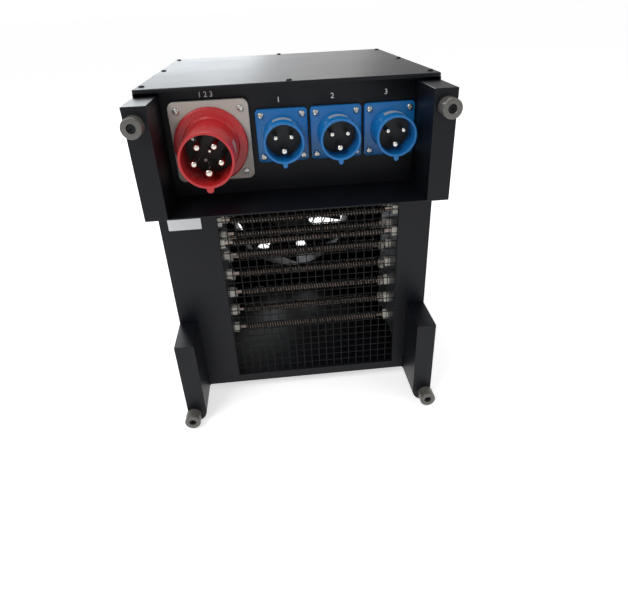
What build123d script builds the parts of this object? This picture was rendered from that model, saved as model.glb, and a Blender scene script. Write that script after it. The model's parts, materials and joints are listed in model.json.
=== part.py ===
from build123d import *
from math import cos, radians, sin
import os

# Generator load bank, in millimetres. X runs to the right as someone facing the inlets sees it,
# Y runs away from them to the fan side, Z is up. The origin is on the floor under the middle.

# cabinet
sheet = 2.0
body_width = 406.0
body_depth = 412.0
body_bottom = 18.0
lid_top = 507.0
lid_skirt = 5.0
lid_corner = 5.0
deck_under_lid = 150.0
panel_recess = 17.0
rail_leg = 18.0

# corner posts and their buffers
post_width = 30.0
post_reach = 70.0
post_under_lid = 9.0
lower_post_top = 151.0
leg_corner = 20.0
crotch_radius = 5.0
buffer_d = 25.0
buffer_length = 19.3
buffer_bore_d = 11.0
buffer_bore_depth = 9.0
buffer_head_d = 10.0
buffer_head_h = 6.0
upper_buffer_inset = 12.5
upper_buffer_under_lid = 30.5
lower_buffer_inset = 9.0
lower_buffer_z = 15.0

# opening and welded mesh in front of the heating bank
opening_left = -120.0
opening_right = 153.0
opening_bottom = 33.0
opening_under_deck = 13.0
mesh_pitch = 13.0
mesh_wire = 1.6
mesh_lap = 8.0

# heating bank
element_d = 14.0
element_tab_length = 12.0
element_tab_width = 5.0
element_tab_t = 1.5
bush_length = 8.0
bush_depth = 12.0
bush_height = 14.0
element_row_pitch = 36.0
front_column_inset = 17.5
middle_column_inset = 57.0
rear_column_inset = 105.0
front_row_under_deck = 42.0
middle_row_under_deck = 44.0
rear_row_under_deck = 72.0
front_rows = 2
middle_rows = 7
rear_rows = 6
plate_margin = 17.0
plate_gap = 2.0
plate_flange = 15.0

# inlets
inlet_under_lid = 70.5
three_pin_inset = 66.7
three_pin_pitch = 74.9
three_pin_flange = 71.0
three_pin_flange_t = 6.0
three_pin_corner = 5.0
three_pin_collar_d = 54.0
three_pin_rim = 55.5
three_pin_floor = 22.0
three_pin_tips = 49.0
three_pin_circle = 12.1
three_pin_line_d = 6.0
three_pin_earth_d = 8.0
three_key_width = 6.2
three_key_height = 5.5
five_pin_inset = 92.8
five_pin_drop = 2.0
five_pin_flange = 107.0
five_pin_flange_t = 8.0
five_pin_corner = 9.0
five_collar_shift = 1.6
five_collar_drop = 4.0
five_pin_base_d = 100.4
five_pin_base_front = 16.3
five_pin_neck_d = 76.0
five_pin_neck_t = 5.0
base_chamfer = 2.5
five_pin_collar_d = 69.8
five_pin_rim = 93.6
five_pin_floor = 30.0
five_pin_tips = 85.0
five_pilot_tip = 45.0
five_pin_circle = 18.3
five_pin_line_d = 8.0
five_pin_earth_d = 10.0
five_pin_pilot_d = 6.0
five_key_width = 9.3
five_key_height = 6.0
collar_wall = 3.3
carrier_t = 10.0
back_reach = 35.0
gasket_t = 1.5
gasket_inset = 1.5

# fan
fan_z = 188.0
fan_ring_d = 256.0
fan_ring_wall = 3.0
fan_ring_length = 50.0
fan_ring_flange = 14.0
blade_clearance = 11.0
hub_d = 90.0
blade_count = 7
blade_t = 3.0
shaft_d = 8.0
running_clearance = 0.05
guard_wire = 2.5
guard_ring_pitch = 22.0
guard_rings = 4
guard_lap = 8.0
guard_spokes = 4
stator_d = 84.0
stator_t = 12.0
hub_wall = 3.0
hub_boss_d = 20.0
hub_rear_gap = 2.0
hub_reach = 2.0
blade_chord_root = 56.0
blade_chord_tip = 78.0
blade_pitch_root = 42.0
blade_pitch_tip = 24.0

# load-step switches
switch_pitch = 80.0
switch_under_lid = 67.0
switch_block = 46.0
switch_block_depth = 42.0
switch_neck_d = 16.0
switch_shaft_d = 6.0
knob_d = 38.0
knob_height = 18.0
knob_skirt = 4.0
knob_grip = 11.0
knob_rest = 75.0
switch_neck_out = 3.0
switch_shaft_length = 24.0
moving_gap = 0.3

# lid screws and clearances
lid_screw_pitch = 182.0
lid_screw_head_d = 8.0
lid_screw_head_h = 2.2
lid_screw_inset = 9.0
lid_edge = 1.2
seat_gap = 0.1
turning_gap = 0.2
panel_hole_gap = 1.0

half_width = body_width / 2
half_depth = body_depth / 2
lid_under = lid_top - sheet
shell_top = lid_top - lid_skirt
deck_top = lid_top - deck_under_lid
upper_post_top = lid_top - post_under_lid
opening_top = deck_top - opening_under_deck
connector_y = -half_depth + panel_recess
mesh_y = -half_depth + sheet
post_inner = half_width - post_width
post_front = half_depth + post_reach
upper_buffer_x = half_width - upper_buffer_inset
upper_buffer_z = lid_top - upper_buffer_under_lid
lower_buffer_x = half_width - lower_buffer_inset
inlet_z = lid_top - inlet_under_lid
three_pin_x = [half_width - three_pin_inset - step * three_pin_pitch for step in (2, 1, 0)]
five_pin_x = -half_width + five_pin_inset
five_pin_z = inlet_z - five_pin_drop
five_collar_x = five_pin_x - five_collar_shift
five_collar_z = five_pin_z - five_collar_drop
switch_x = [step * switch_pitch for step in (-1, 0, 1)]
switch_z = lid_top - switch_under_lid

os.makedirs("parts", exist_ok=True)
pieces = []


def keep(shape, name):
    shape.label = name
    export_step(shape, f"parts/{name}.step")
    pieces.append(name)


# ---- cabinet ------------------------------------------------------------------------------

# one sheet folded into a trough: left wall, floor and right wall
with BuildPart() as shell:
    with BuildSketch(Plane.XZ.offset(half_depth - sheet)):
        with Locations((0, (body_bottom + shell_top) / 2)):
            Rectangle(body_width, shell_top - body_bottom)
        with Locations((0, (body_bottom + sheet + shell_top) / 2)):
            Rectangle(body_width - 2 * sheet, shell_top - body_bottom - sheet, mode=Mode.SUBTRACT)
    extrude(amount=-(body_depth - 2 * sheet))
keep(shell.part, "cabinet_shell")


# a leg seen from the front: a box with its inner lower corner rounded
def leg_outline(side, height):
    with BuildSketch() as leg:
        with Locations((side * (half_width - post_width / 2), height / 2)):
            Rectangle(post_width, height)
        inner_foot = leg.vertices().group_by(Axis.Y)[0].sort_by(lambda v: abs(v.X))[0]
        fillet(inner_foot, leg_corner)
    return leg.sketch


# an end sheet of the body, which runs down behind both legs to the floor
def end_outline(top):
    with BuildSketch() as outline:
        with Locations((0, (body_bottom + top) / 2)):
            Rectangle(body_width, top - body_bottom)
        for side in (-1, 1):
            add(leg_outline(side, 2 * leg_corner))
        under_edge = [v for v in outline.vertices() if abs(v.Y - body_bottom) < 0.01]
        fillet([v for v in under_edge if abs(v.X) < half_width - 0.01], crotch_radius)
    return outline.sketch


# the front sheet closes the trough below the deck and has the opening for the air
with BuildPart() as front_panel:
    with BuildSketch(Plane.XZ.offset(half_depth)):
        add(end_outline(deck_top - sheet))
        with Locations(((opening_left + opening_right) / 2, (opening_bottom + opening_top) / 2)):
            Rectangle(opening_right - opening_left, opening_top - opening_bottom, mode=Mode.SUBTRACT)
    extrude(amount=-sheet)
keep(front_panel.part, "front_panel")

# the deck parts the heater duct from the wiring space and reaches forward as a shelf
with BuildPart() as deck:
    with BuildSketch(Plane.XY.offset(deck_top - sheet)):
        Rectangle(body_width - 2 * sheet, body_depth - 2 * sheet)
        with Locations((0, -(half_depth + post_front - sheet) / 2)):
            Rectangle(2 * post_inner, post_reach + sheet)
    extrude(amount=sheet)
keep(deck.part, "deck")

# the recessed panel carries the inlets, and its top edge turns forward under the lid
inlet_holes = [(five_collar_x, five_collar_z, five_pin_collar_d)]
inlet_holes += [(x, inlet_z, three_pin_collar_d) for x in three_pin_x]
with BuildPart() as connector_panel:
    with BuildSketch(Plane.XZ.offset(-connector_y)):
        with Locations((0, (deck_top + lid_under) / 2)):
            Rectangle(body_width - 2 * sheet, lid_under - deck_top)
        for x, z, collar_d in inlet_holes:
            with Locations((x, z)):
                Circle(collar_d / 2 + panel_hole_gap, mode=Mode.SUBTRACT)
    extrude(amount=-sheet)
    with BuildSketch(Plane.XY.offset(lid_under - sheet)):
        with Locations((0, (connector_y - half_depth + sheet) / 2)):
            Rectangle(body_width - 2 * sheet, panel_recess - sheet)
    extrude(amount=sheet)
keep(connector_panel.part, "connector_panel")

# the rear sheet has the fan opening and the switch necks
with BuildPart() as rear_panel:
    with BuildSketch(Plane.XZ.offset(-half_depth)):
        add(end_outline(shell_top))
        with Locations((0, fan_z)):
            Circle(fan_ring_d / 2, mode=Mode.SUBTRACT)
        with Locations(*[(x, switch_z) for x in switch_x]):
            Circle(switch_neck_d / 2 + turning_gap, mode=Mode.SUBTRACT)
    extrude(amount=sheet)
keep(rear_panel.part, "rear_panel")

side_rail_front = connector_y + sheet
side_rail_length = half_depth - sheet - side_rail_front


# an angle under the edge of the lid, drawn as seen along its length
def rail_section(outward):
    with BuildSketch() as section:
        with Locations((outward * -sheet / 2, -rail_leg / 2)):
            Rectangle(sheet, rail_leg)
        with Locations((outward * -rail_leg / 2, -sheet / 2)):
            Rectangle(rail_leg, sheet)
    return section.sketch


with BuildPart() as lid_rails:
    for side in (-1, 1):
        rail_plane = Plane(
            origin=(side * (half_width - sheet), side_rail_front, lid_under),
            x_dir=(1, 0, 0),
            z_dir=(0, -1, 0),
        )
        with BuildSketch(rail_plane):
            add(rail_section(side))
        extrude(amount=-side_rail_length)
    rear_rail_plane = Plane(
        origin=(-half_width + sheet + rail_leg, half_depth - sheet, lid_under),
        x_dir=(0, 1, 0),
        z_dir=(1, 0, 0),
    )
    with BuildSketch(rear_rail_plane):
        add(rail_section(1))
    extrude(amount=body_width - 2 * sheet - 2 * rail_leg)
keep(lid_rails.part, "lid_rails")

# the lid is a shallow tray with its skirt standing on the walls
with BuildPart() as lid:
    with BuildSketch(Plane.XY.offset(shell_top)):
        RectangleRounded(body_width, body_depth, lid_corner)
    extrude(amount=lid_skirt)
    chamfer(lid.faces().sort_by(Axis.Z)[-1].edges(), lid_edge)
    with BuildSketch(Plane.XY.offset(shell_top)):
        Rectangle(body_width - 2 * sheet, body_depth - 2 * sheet)
    extrude(amount=lid_skirt - sheet, mode=Mode.SUBTRACT)
keep(lid.part, "top_cover")

lid_screw_x = half_width - lid_screw_inset
lid_screw_places = [(s * lid_screw_x, row * lid_screw_pitch) for s in (-1, 1) for row in (-1, 0, 1)]
lid_screw_places += [(0, s * (half_depth - lid_screw_inset)) for s in (-1, 1)]
with BuildPart() as lid_screws:
    with BuildSketch(Plane.XY.offset(lid_top)):
        with Locations(*lid_screw_places):
            Circle(lid_screw_head_d / 2)
    extrude(amount=lid_screw_head_h)
keep(lid_screws.part, "lid_screws")

# ---- corner posts ---------------------------------------------------------------------------


# a folded upper post, closed in front, above and below, with a wing that lines the recess
def upper_post(side, wing):
    middle = side * (half_width - post_width / 2)
    with BuildPart() as post:
        with BuildSketch(Plane.XY.offset(deck_top - sheet)):
            with Locations((middle, -(post_front + half_depth - wing) / 2)):
                Rectangle(post_width, post_reach + wing)
        extrude(amount=upper_post_top - deck_top + sheet)
        offset(amount=-sheet, openings=post.faces().sort_by(Axis.Y)[-1])
        if wing:
            with BuildSketch(Plane.XZ.offset(half_depth - wing)):
                with Locations((side * (post_inner + sheet / 2), (deck_top + upper_post_top) / 2)):
                    Rectangle(sheet, upper_post_top - deck_top)
            extrude(amount=-(panel_recess - wing))
    return post.part


# a folded leg, open at the back where it meets the body
def lower_post(side):
    with BuildPart() as post:
        with BuildSketch(Plane.XZ.offset(post_front)):
            add(leg_outline(side, lower_post_top))
        extrude(amount=-post_reach)
        offset(amount=-sheet, openings=post.faces().sort_by(Axis.Y)[-1])
    return post.part


for side, hand in ((-1, "left"), (1, "right")):
    keep(upper_post(side, sheet), f"upper_post_front_{hand}")
    keep(lower_post(side), f"lower_post_front_{hand}")
    for name, front_post in (("upper", upper_post(side, 0)), ("lower", lower_post(side))):
        with BuildPart() as rear_post:
            mirror(front_post, about=Plane.XZ)
        keep(rear_post.part, f"{name}_post_rear_{hand}")


# four buffers of one height: drums with a bore that sinks the screw
def buffers(x, z):
    with BuildPart() as drums:
        with BuildSketch(Plane.XZ.offset(post_front)):
            with Locations((-x, z), (x, z)):
                Circle(buffer_d / 2)
        extrude(amount=buffer_length)
        with BuildSketch(Plane.XZ.offset(post_front + buffer_length)):
            with Locations((-x, z), (x, z)):
                Circle(buffer_bore_d / 2)
        extrude(amount=-buffer_bore_depth, mode=Mode.SUBTRACT)
        mirror(about=Plane.XZ)
    return drums.part


keep(buffers(upper_buffer_x, upper_buffer_z), "upper_buffers")
keep(buffers(lower_buffer_x, lower_buffer_z), "lower_buffers")

buffer_places = [(s * upper_buffer_x, upper_buffer_z) for s in (-1, 1)]
buffer_places += [(s * lower_buffer_x, lower_buffer_z) for s in (-1, 1)]
with BuildPart() as buffer_screws:
    with BuildSketch(Plane.XZ.offset(post_front + buffer_length - buffer_bore_depth)):
        with Locations(*buffer_places):
            Circle(buffer_head_d / 2)
    extrude(amount=buffer_head_h)
    mirror(about=Plane.XZ)
keep(buffer_screws.part, "buffer_screws")

# ---- mesh and heating bank --------------------------------------------------------------------

mesh_width = opening_right - opening_left + 2 * mesh_lap
mesh_height = opening_top - opening_bottom + 2 * mesh_lap
mesh_middle = ((opening_left + opening_right) / 2, (opening_bottom + opening_top) / 2)
upright_count = round((opening_right - opening_left) / mesh_pitch) + 1
level_count = round((opening_top - opening_bottom) / mesh_pitch) + 1

# two layers of welded wire that touch: uprights against the panel, levels behind them
with BuildPart() as uprights:
    with BuildSketch(Plane.XZ.offset(-mesh_y)):
        with Locations(mesh_middle):
            with GridLocations(mesh_pitch, 0, upright_count, 1):
                Rectangle(mesh_wire, mesh_height)
    extrude(amount=-mesh_wire)
with BuildPart() as levels:
    with BuildSketch(Plane.XZ.offset(-mesh_y - mesh_wire)):
        with Locations(mesh_middle):
            with GridLocations(0, mesh_pitch, 1, level_count):
                Rectangle(mesh_width, mesh_wire)
    extrude(amount=-mesh_wire)
keep(Compound(children=[uprights.part, levels.part]), "front_mesh")


# the middles of the elements of one column, as depth and height
def column(y, top, rows):
    return [(y, top - row * element_row_pitch) for row in range(rows)]


element_places = column(-half_depth + front_column_inset, deck_top - front_row_under_deck, front_rows)
element_places += column(-half_depth + middle_column_inset, deck_top - middle_row_under_deck, middle_rows)
element_places += column(-half_depth + rear_column_inset, deck_top - rear_row_under_deck, rear_rows)
lowest_element = min(z for y, z in element_places)
plate_front = mesh_y + 2 * mesh_wire
plate_rear = -half_depth + rear_column_inset + plate_margin
plate_bottom = lowest_element - plate_margin
bush_left = opening_left - plate_gap
bush_right = opening_right + plate_gap

# each end plate hangs from the deck by a flange turned outwards
for side, hand, wall_x in ((-1, "left", bush_left), (1, "right", bush_right)):
    with BuildPart() as end_plate:
        with BuildSketch(Plane.YZ.offset(wall_x)):
            with Locations(((plate_front + plate_rear) / 2, (plate_bottom + deck_top - sheet) / 2)):
                Rectangle(plate_rear - plate_front, deck_top - sheet - plate_bottom)
        extrude(amount=side * sheet)
        with BuildSketch(Plane.XY.offset(deck_top - sheet)):
            with Locations((wall_x + side * plate_flange / 2, (plate_front + plate_rear) / 2)):
                Rectangle(plate_flange, plate_rear - plate_front)
        extrude(amount=-sheet)
    keep(end_plate.part, f"heater_plate_{hand}")

# steatite blocks stand on the plates and hold the tabs of the elements
with BuildPart() as bushes:
    for start, inward in ((bush_left, 1), (bush_right, -1)):
        with BuildSketch(Plane.YZ.offset(start)):
            with Locations(*element_places):
                Rectangle(bush_depth, bush_height)
        extrude(amount=inward * bush_length)
keep(bushes.part, "element_bushes")

# each element is a wound rod with a flat tab at both ends
tab_reach = bush_length + element_tab_length
with BuildPart() as elements:
    with BuildSketch(Plane.YZ.offset(bush_left + tab_reach)):
        with Locations(*element_places):
            Circle(element_d / 2)
    extrude(amount=bush_right - bush_left - 2 * tab_reach)
    for start, inward in ((bush_left, 1), (bush_right, -1)):
        with BuildSketch(Plane.YZ.offset(start + inward * bush_length)):
            with Locations(*element_places):
                Rectangle(element_tab_t, element_tab_width)
        extrude(amount=inward * element_tab_length)
keep(elements.part, "heating_elements")

# ---- inlets -------------------------------------------------------------------------------------


# a plane square to an inlet's axis that looks out at the front, a given way from the panel
def inlet_plane(x, z, forward):
    return Plane(origin=(x, connector_y - forward, z), x_dir=(1, 0, 0), z_dir=(0, -1, 0))


# the middles of pins on a circle, the earth pin first, at the bottom
def pin_places(radius, count):
    angles = [radians(-90 + 360 * i / count) for i in range(count)]
    return [(radius * cos(a), radius * sin(a)) for a in angles]


# a tubular collar with a rounded key rib below, and a plug behind it that fills the panel's hole
def collar(x, z, root, collar_d, rim, floor, key_width, key_height):
    inner = collar_d / 2 - collar_wall
    with BuildPart() as tube:
        with BuildSketch(inlet_plane(x, z, root)):
            Circle(collar_d / 2)
            with Locations((0, -(collar_d + 2 * key_height - key_width) / 2)):
                Circle(key_width / 2)
            with Locations((0, -collar_d / 2)):
                Rectangle(key_width, 2 * key_height - key_width)
        extrude(amount=rim - root)
        with BuildSketch(inlet_plane(x, z, rim)):
            Circle(inner)
        extrude(amount=-(rim - floor + carrier_t), mode=Mode.SUBTRACT)
        with BuildSketch(inlet_plane(x, z, root)):
            Circle(inner)
        extrude(amount=-(root + back_reach))
    return tube.part


# the black insulator at the bottom of a collar
def carrier(x, z, collar_d, floor):
    with BuildPart() as disc:
        with BuildSketch(inlet_plane(x, z, floor - carrier_t)):
            Circle(collar_d / 2 - collar_wall - seat_gap)
        extrude(amount=carrier_t)
    return disc.part


# round pins that stand on the carrier's face
def pins(x, z, floor, pin_set):
    with BuildPart() as group:
        for place, pin_d, tip in pin_set:
            with BuildSketch(inlet_plane(x, z, floor)):
                with Locations(place):
                    Circle(pin_d / 2)
            extrude(amount=tip - floor)
    return group.part


with BuildPart() as five_flange:
    with BuildSketch(inlet_plane(five_pin_x, five_pin_z, gasket_t)):
        RectangleRounded(five_pin_flange, five_pin_flange, five_pin_corner)
        with Locations((five_collar_x - five_pin_x, five_collar_z - five_pin_z)):
            Circle(five_pin_collar_d / 2 - collar_wall + seat_gap, mode=Mode.SUBTRACT)
    extrude(amount=five_pin_flange_t)
keep(five_flange.part, "five_pin_flange")

# the red part of the large inlet: a round base, a short neck and the collar
five_root = gasket_t + five_pin_flange_t
with BuildPart() as five_collar:
    with BuildSketch(inlet_plane(five_collar_x, five_collar_z, five_root)):
        Circle(five_pin_base_d / 2)
    extrude(amount=five_pin_base_front - five_root)
    chamfer(five_collar.faces().sort_by(Axis.Y)[0].edges(), base_chamfer)
    with BuildSketch(inlet_plane(five_collar_x, five_collar_z, five_pin_base_front)):
        Circle(five_pin_neck_d / 2)
    extrude(amount=five_pin_neck_t)
    with BuildSketch(inlet_plane(five_collar_x, five_collar_z, five_pin_base_front + five_pin_neck_t)):
        Circle(five_pin_collar_d / 2 - collar_wall)
    extrude(amount=five_root - five_pin_base_front - five_pin_neck_t, mode=Mode.SUBTRACT)
    add(
        collar(
            five_collar_x, five_collar_z, five_root, five_pin_collar_d,
            five_pin_rim, five_pin_floor, five_key_width, five_key_height,
        )
    )
keep(five_collar.part, "five_pin_collar")
keep(carrier(five_collar_x, five_collar_z, five_pin_collar_d, five_pin_floor), "five_pin_carrier")
five_earth, *five_lines = pin_places(five_pin_circle, 5)
five_pin_set = [(five_earth, five_pin_earth_d, five_pin_tips), ((0, 0), five_pin_pilot_d, five_pilot_tip)]
five_pin_set += [(place, five_pin_line_d, five_pin_tips) for place in five_lines]
keep(pins(five_collar_x, five_collar_z, five_pin_floor, five_pin_set), "five_pin_pins")

three_earth, *three_lines = pin_places(three_pin_circle, 3)
three_pin_set = [(three_earth, three_pin_earth_d, three_pin_tips)]
three_pin_set += [(place, three_pin_line_d, three_pin_tips) for place in three_lines]
for phase, x in enumerate(three_pin_x, start=1):
    with BuildPart() as housing:
        with BuildSketch(inlet_plane(x, inlet_z, gasket_t)):
            RectangleRounded(three_pin_flange, three_pin_flange, three_pin_corner)
            Circle(three_pin_collar_d / 2 - collar_wall, mode=Mode.SUBTRACT)
        extrude(amount=three_pin_flange_t)
        add(
            collar(
                x, inlet_z, gasket_t, three_pin_collar_d,
                three_pin_rim, three_pin_floor, three_key_width, three_key_height,
            )
        )
    keep(housing.part, f"three_pin_housing_l{phase}")
    keep(carrier(x, inlet_z, three_pin_collar_d, three_pin_floor), f"three_pin_carrier_l{phase}")
    keep(pins(x, inlet_z, three_pin_floor, three_pin_set), f"three_pin_pins_l{phase}")

# a thin seal between each flange and the panel
seals = [(five_pin_x, five_pin_z, five_pin_flange, five_collar_x, five_collar_z, five_pin_collar_d)]
seals += [(x, inlet_z, three_pin_flange, x, inlet_z, three_pin_collar_d) for x in three_pin_x]
with BuildPart() as gaskets:
    for x, z, flange, hole_x, hole_z, collar_d in seals:
        with BuildSketch(inlet_plane(x, z, 0)):
            Rectangle(flange - 2 * gasket_inset, flange - 2 * gasket_inset)
            with Locations((hole_x - x, hole_z - z)):
                Circle(collar_d / 2 + panel_hole_gap, mode=Mode.SUBTRACT)
        extrude(amount=gasket_t)
keep(gaskets.part, "inlet_gaskets")

# ---- fan ----------------------------------------------------------------------------------------


# a plane square to the fan's axis that looks out at the rear, at a given depth
def fan_plane(y):
    return Plane(origin=(0, y, fan_z), x_dir=(-1, 0, 0), z_dir=(0, 1, 0))


panel_inner_y = half_depth - sheet
with BuildPart() as fan_ring:
    with BuildSketch(fan_plane(panel_inner_y)):
        Circle(fan_ring_d / 2 + fan_ring_wall)
        Circle(fan_ring_d / 2, mode=Mode.SUBTRACT)
    extrude(amount=-fan_ring_length)
    with BuildSketch(fan_plane(panel_inner_y)):
        Circle(fan_ring_d / 2 + fan_ring_flange)
        Circle(fan_ring_d / 2, mode=Mode.SUBTRACT)
    extrude(amount=-fan_ring_wall)
keep(fan_ring.part, "fan_ring")

# the guard's rings and hub plate lie on the panel, and its spokes lie across them
guard_outer = fan_ring_d / 2 + guard_lap
with BuildPart() as rings:
    with BuildSketch(fan_plane(half_depth)):
        for ring in range(guard_rings):
            Circle(guard_outer - ring * guard_ring_pitch)
            Circle(guard_outer - ring * guard_ring_pitch - guard_wire, mode=Mode.SUBTRACT)
        Circle(hub_d / 2)
    extrude(amount=guard_wire)
with BuildPart() as spokes:
    with BuildSketch(fan_plane(half_depth + guard_wire)):
        with PolarLocations((guard_outer + hub_d / 4) / 2, guard_spokes, start_angle=45):
            Rectangle(guard_outer - hub_d / 4, guard_wire)
    extrude(amount=guard_wire)
keep(Compound(children=[rings.part, spokes.part]), "fan_guard")

# the stator disc is bolted to the guard's hub plate and carries the fixed shaft
hub_front = panel_inner_y - fan_ring_length - hub_reach
hub_rear = half_depth - stator_t - hub_rear_gap
with BuildPart() as stator:
    with BuildSketch(fan_plane(half_depth)):
        Circle(stator_d / 2)
    extrude(amount=-stator_t)
    with BuildSketch(fan_plane(half_depth - stator_t)):
        Circle(shaft_d / 2)
    extrude(amount=-(half_depth - stator_t - hub_front))
keep(stator.part, "fan_stator")

# the rotor turns on that shaft: a cup with a bearing boss and twisted blades
with BuildPart() as rotor:
    for blade in range(blade_count):
        turn = 360 * blade / blade_count
        out = Vector(cos(radians(turn)), 0, sin(radians(turn)))
        middle = Vector(0, (hub_front + hub_rear) / 2, fan_z)
        for reach, chord, pitch in (
            (hub_d / 2 - 3 * hub_wall, blade_chord_root, blade_pitch_root),
            (fan_ring_d / 2 - blade_clearance, blade_chord_tip, blade_pitch_tip),
        ):
            across = Vector(0, 1, 0).cross(out)
            chord_way = across * cos(radians(pitch)) + Vector(0, sin(radians(pitch)), 0)
            with BuildSketch(Plane(origin=middle + out * reach, x_dir=chord_way, z_dir=out)):
                Rectangle(chord, blade_t)
        loft()
    with BuildSketch(fan_plane(hub_front)):
        Circle(hub_d / 2)
    extrude(amount=hub_rear - hub_front)
    with BuildSketch(fan_plane(hub_front + hub_wall)):
        Circle(hub_d / 2 - hub_wall)
        Circle(hub_boss_d / 2, mode=Mode.SUBTRACT)
    extrude(amount=hub_rear - hub_front, mode=Mode.SUBTRACT)
    with BuildSketch(fan_plane(hub_front)):
        Circle(shaft_d / 2 + running_clearance)
    extrude(amount=hub_rear - hub_front, mode=Mode.SUBTRACT)
keep(rotor.part, "fan_rotor")

# ---- load-step switches -------------------------------------------------------------------------


# a plane on the rear panel's outer face that looks out at the rear
def switch_plane(x, out):
    return Plane(origin=(x, half_depth + out, switch_z), x_dir=(-1, 0, 0), z_dir=(0, 1, 0))


with BuildPart() as switch_blocks:
    for x in switch_x:
        with BuildSketch(switch_plane(x, -sheet)):
            Rectangle(switch_block, switch_block)
        extrude(amount=-switch_block_depth)
        with BuildSketch(switch_plane(x, -sheet)):
            Circle(switch_neck_d / 2)
        extrude(amount=sheet + switch_neck_out)
        with BuildSketch(switch_plane(x, switch_neck_out)):
            Circle(switch_shaft_d / 2 + running_clearance)
        extrude(amount=-(switch_shaft_length + moving_gap), mode=Mode.SUBTRACT)
keep(switch_blocks.part, "switch_blocks")

for phase, x in enumerate(switch_x, start=1):
    with BuildPart() as knob:
        with BuildSketch(switch_plane(x, switch_neck_out + moving_gap)):
            Circle(knob_d / 2)
        extrude(amount=knob_skirt)
        with BuildSketch(switch_plane(x, switch_neck_out + moving_gap + knob_skirt)):
            SlotOverall(knob_d - knob_skirt, knob_grip, rotation=90 + knob_rest)
        extrude(amount=knob_height - knob_skirt)
        with BuildSketch(switch_plane(x, switch_neck_out + moving_gap)):
            Circle(switch_shaft_d / 2)
        extrude(amount=-switch_shaft_length)
    keep(knob.part, f"switch_knob_l{phase}")

print(len(pieces), "pieces")
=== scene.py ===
import json
from math import radians

import bmesh
import bpy
import numpy as np
from mathutils import Euler, Matrix, Vector


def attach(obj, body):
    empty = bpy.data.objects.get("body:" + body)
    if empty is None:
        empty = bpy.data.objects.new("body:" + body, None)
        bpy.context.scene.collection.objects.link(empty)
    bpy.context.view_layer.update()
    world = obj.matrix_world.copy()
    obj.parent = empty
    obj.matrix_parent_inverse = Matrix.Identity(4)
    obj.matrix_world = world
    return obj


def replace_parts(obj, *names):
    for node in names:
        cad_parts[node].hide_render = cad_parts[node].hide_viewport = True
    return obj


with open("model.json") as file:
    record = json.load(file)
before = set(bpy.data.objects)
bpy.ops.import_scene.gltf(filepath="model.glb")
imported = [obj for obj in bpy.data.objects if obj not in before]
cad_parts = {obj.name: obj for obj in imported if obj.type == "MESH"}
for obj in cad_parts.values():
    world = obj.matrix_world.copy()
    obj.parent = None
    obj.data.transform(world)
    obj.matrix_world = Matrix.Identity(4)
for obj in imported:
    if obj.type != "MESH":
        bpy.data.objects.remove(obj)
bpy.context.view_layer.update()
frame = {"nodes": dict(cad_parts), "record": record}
mm = 0.001
slotOf = {part["node"]: part["material_slot"] for part in frame["record"]["subparts"]}
print("frame loaded:", len(slotOf), "nodes")


# sRGB hex to linear: below 0.04045 a straight line, above it a power of 2.4
def linear(hexColour):
    part = np.array([int(hexColour[i:i + 2], 16) / 255 for i in (1, 3, 5)])
    part = np.where(part <= 0.04045, part / 12.92, ((part + 0.055) / 1.055) ** 2.4)
    return (*part.tolist(), 1.0)


# adds one node, sets its properties and sockets, and links what feeds it
def addNode(tree, kind, values=None, links=None, **settings):
    node = tree.nodes.new(kind)
    for key, value in settings.items():
        setattr(node, key, value)
    for key, value in (values or {}).items():
        node.inputs[key].default_value = value
    for key, source in (links or {}).items():
        tree.links.new(source, node.inputs[key])
    return node


# a Principled surface; grain is a fine bump, stain a slow change of the roughness and tint a slow change
# towards a second colour; the first number of each is its size in mm
def finishOf(name, look):
    made = bpy.data.materials.new(name)
    made.use_nodes = True
    tree = made.node_tree
    shader = tree.nodes["Principled BSDF"]
    shader.inputs["Base Color"].default_value = linear(look["colour"])
    shader.inputs["Metallic"].default_value = look.get("metallic", 0.0)
    shader.inputs["Roughness"].default_value = look["roughness"]
    for socket, value in look.get("shader", {}).items():
        shader.inputs[socket].default_value = value
    place = addNode(tree, "ShaderNodeTexCoord")
    if "stain" in look:
        size, spread = look["stain"]
        cloud = addNode(tree, "ShaderNodeTexNoise", {"Scale": 1000 / size, "Detail": 3.0},
                        {"Vector": place.outputs["Object"]})
        swing = addNode(tree, "ShaderNodeMapRange",
                        {"From Min": 0.3, "From Max": 0.7, "To Min": look["roughness"] - spread,
                         "To Max": look["roughness"] + spread}, {"Value": cloud.outputs["Fac"]})
        tree.links.new(swing.outputs["Result"], shader.inputs["Roughness"])
    if "tint" in look:
        size, other = look["tint"]
        cloud = addNode(tree, "ShaderNodeTexNoise", {"Scale": 1000 / size, "Detail": 4.0},
                        {"Vector": place.outputs["Object"]})
        ramp = addNode(tree, "ShaderNodeMapRange", {"From Min": 0.42, "From Max": 0.62},
                       {"Value": cloud.outputs["Fac"]})
        blend = addNode(tree, "ShaderNodeMixRGB", {"Color1": linear(look["colour"]), "Color2": linear(other)},
                        {"Fac": ramp.outputs["Result"]})
        tree.links.new(blend.outputs["Color"], shader.inputs["Base Color"])
    if "grain" in look:
        size, height = look["grain"]
        grit = addNode(tree, "ShaderNodeTexNoise", {"Scale": 1000 / size, "Detail": 2.0},
                       {"Vector": place.outputs["Object"]})
        bump = addNode(tree, "ShaderNodeBump", {"Strength": 0.6, "Distance": height * mm},
                       {"Height": grit.outputs["Fac"]})
        tree.links.new(bump.outputs["Normal"], shader.inputs["Normal"])
    return made


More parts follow.
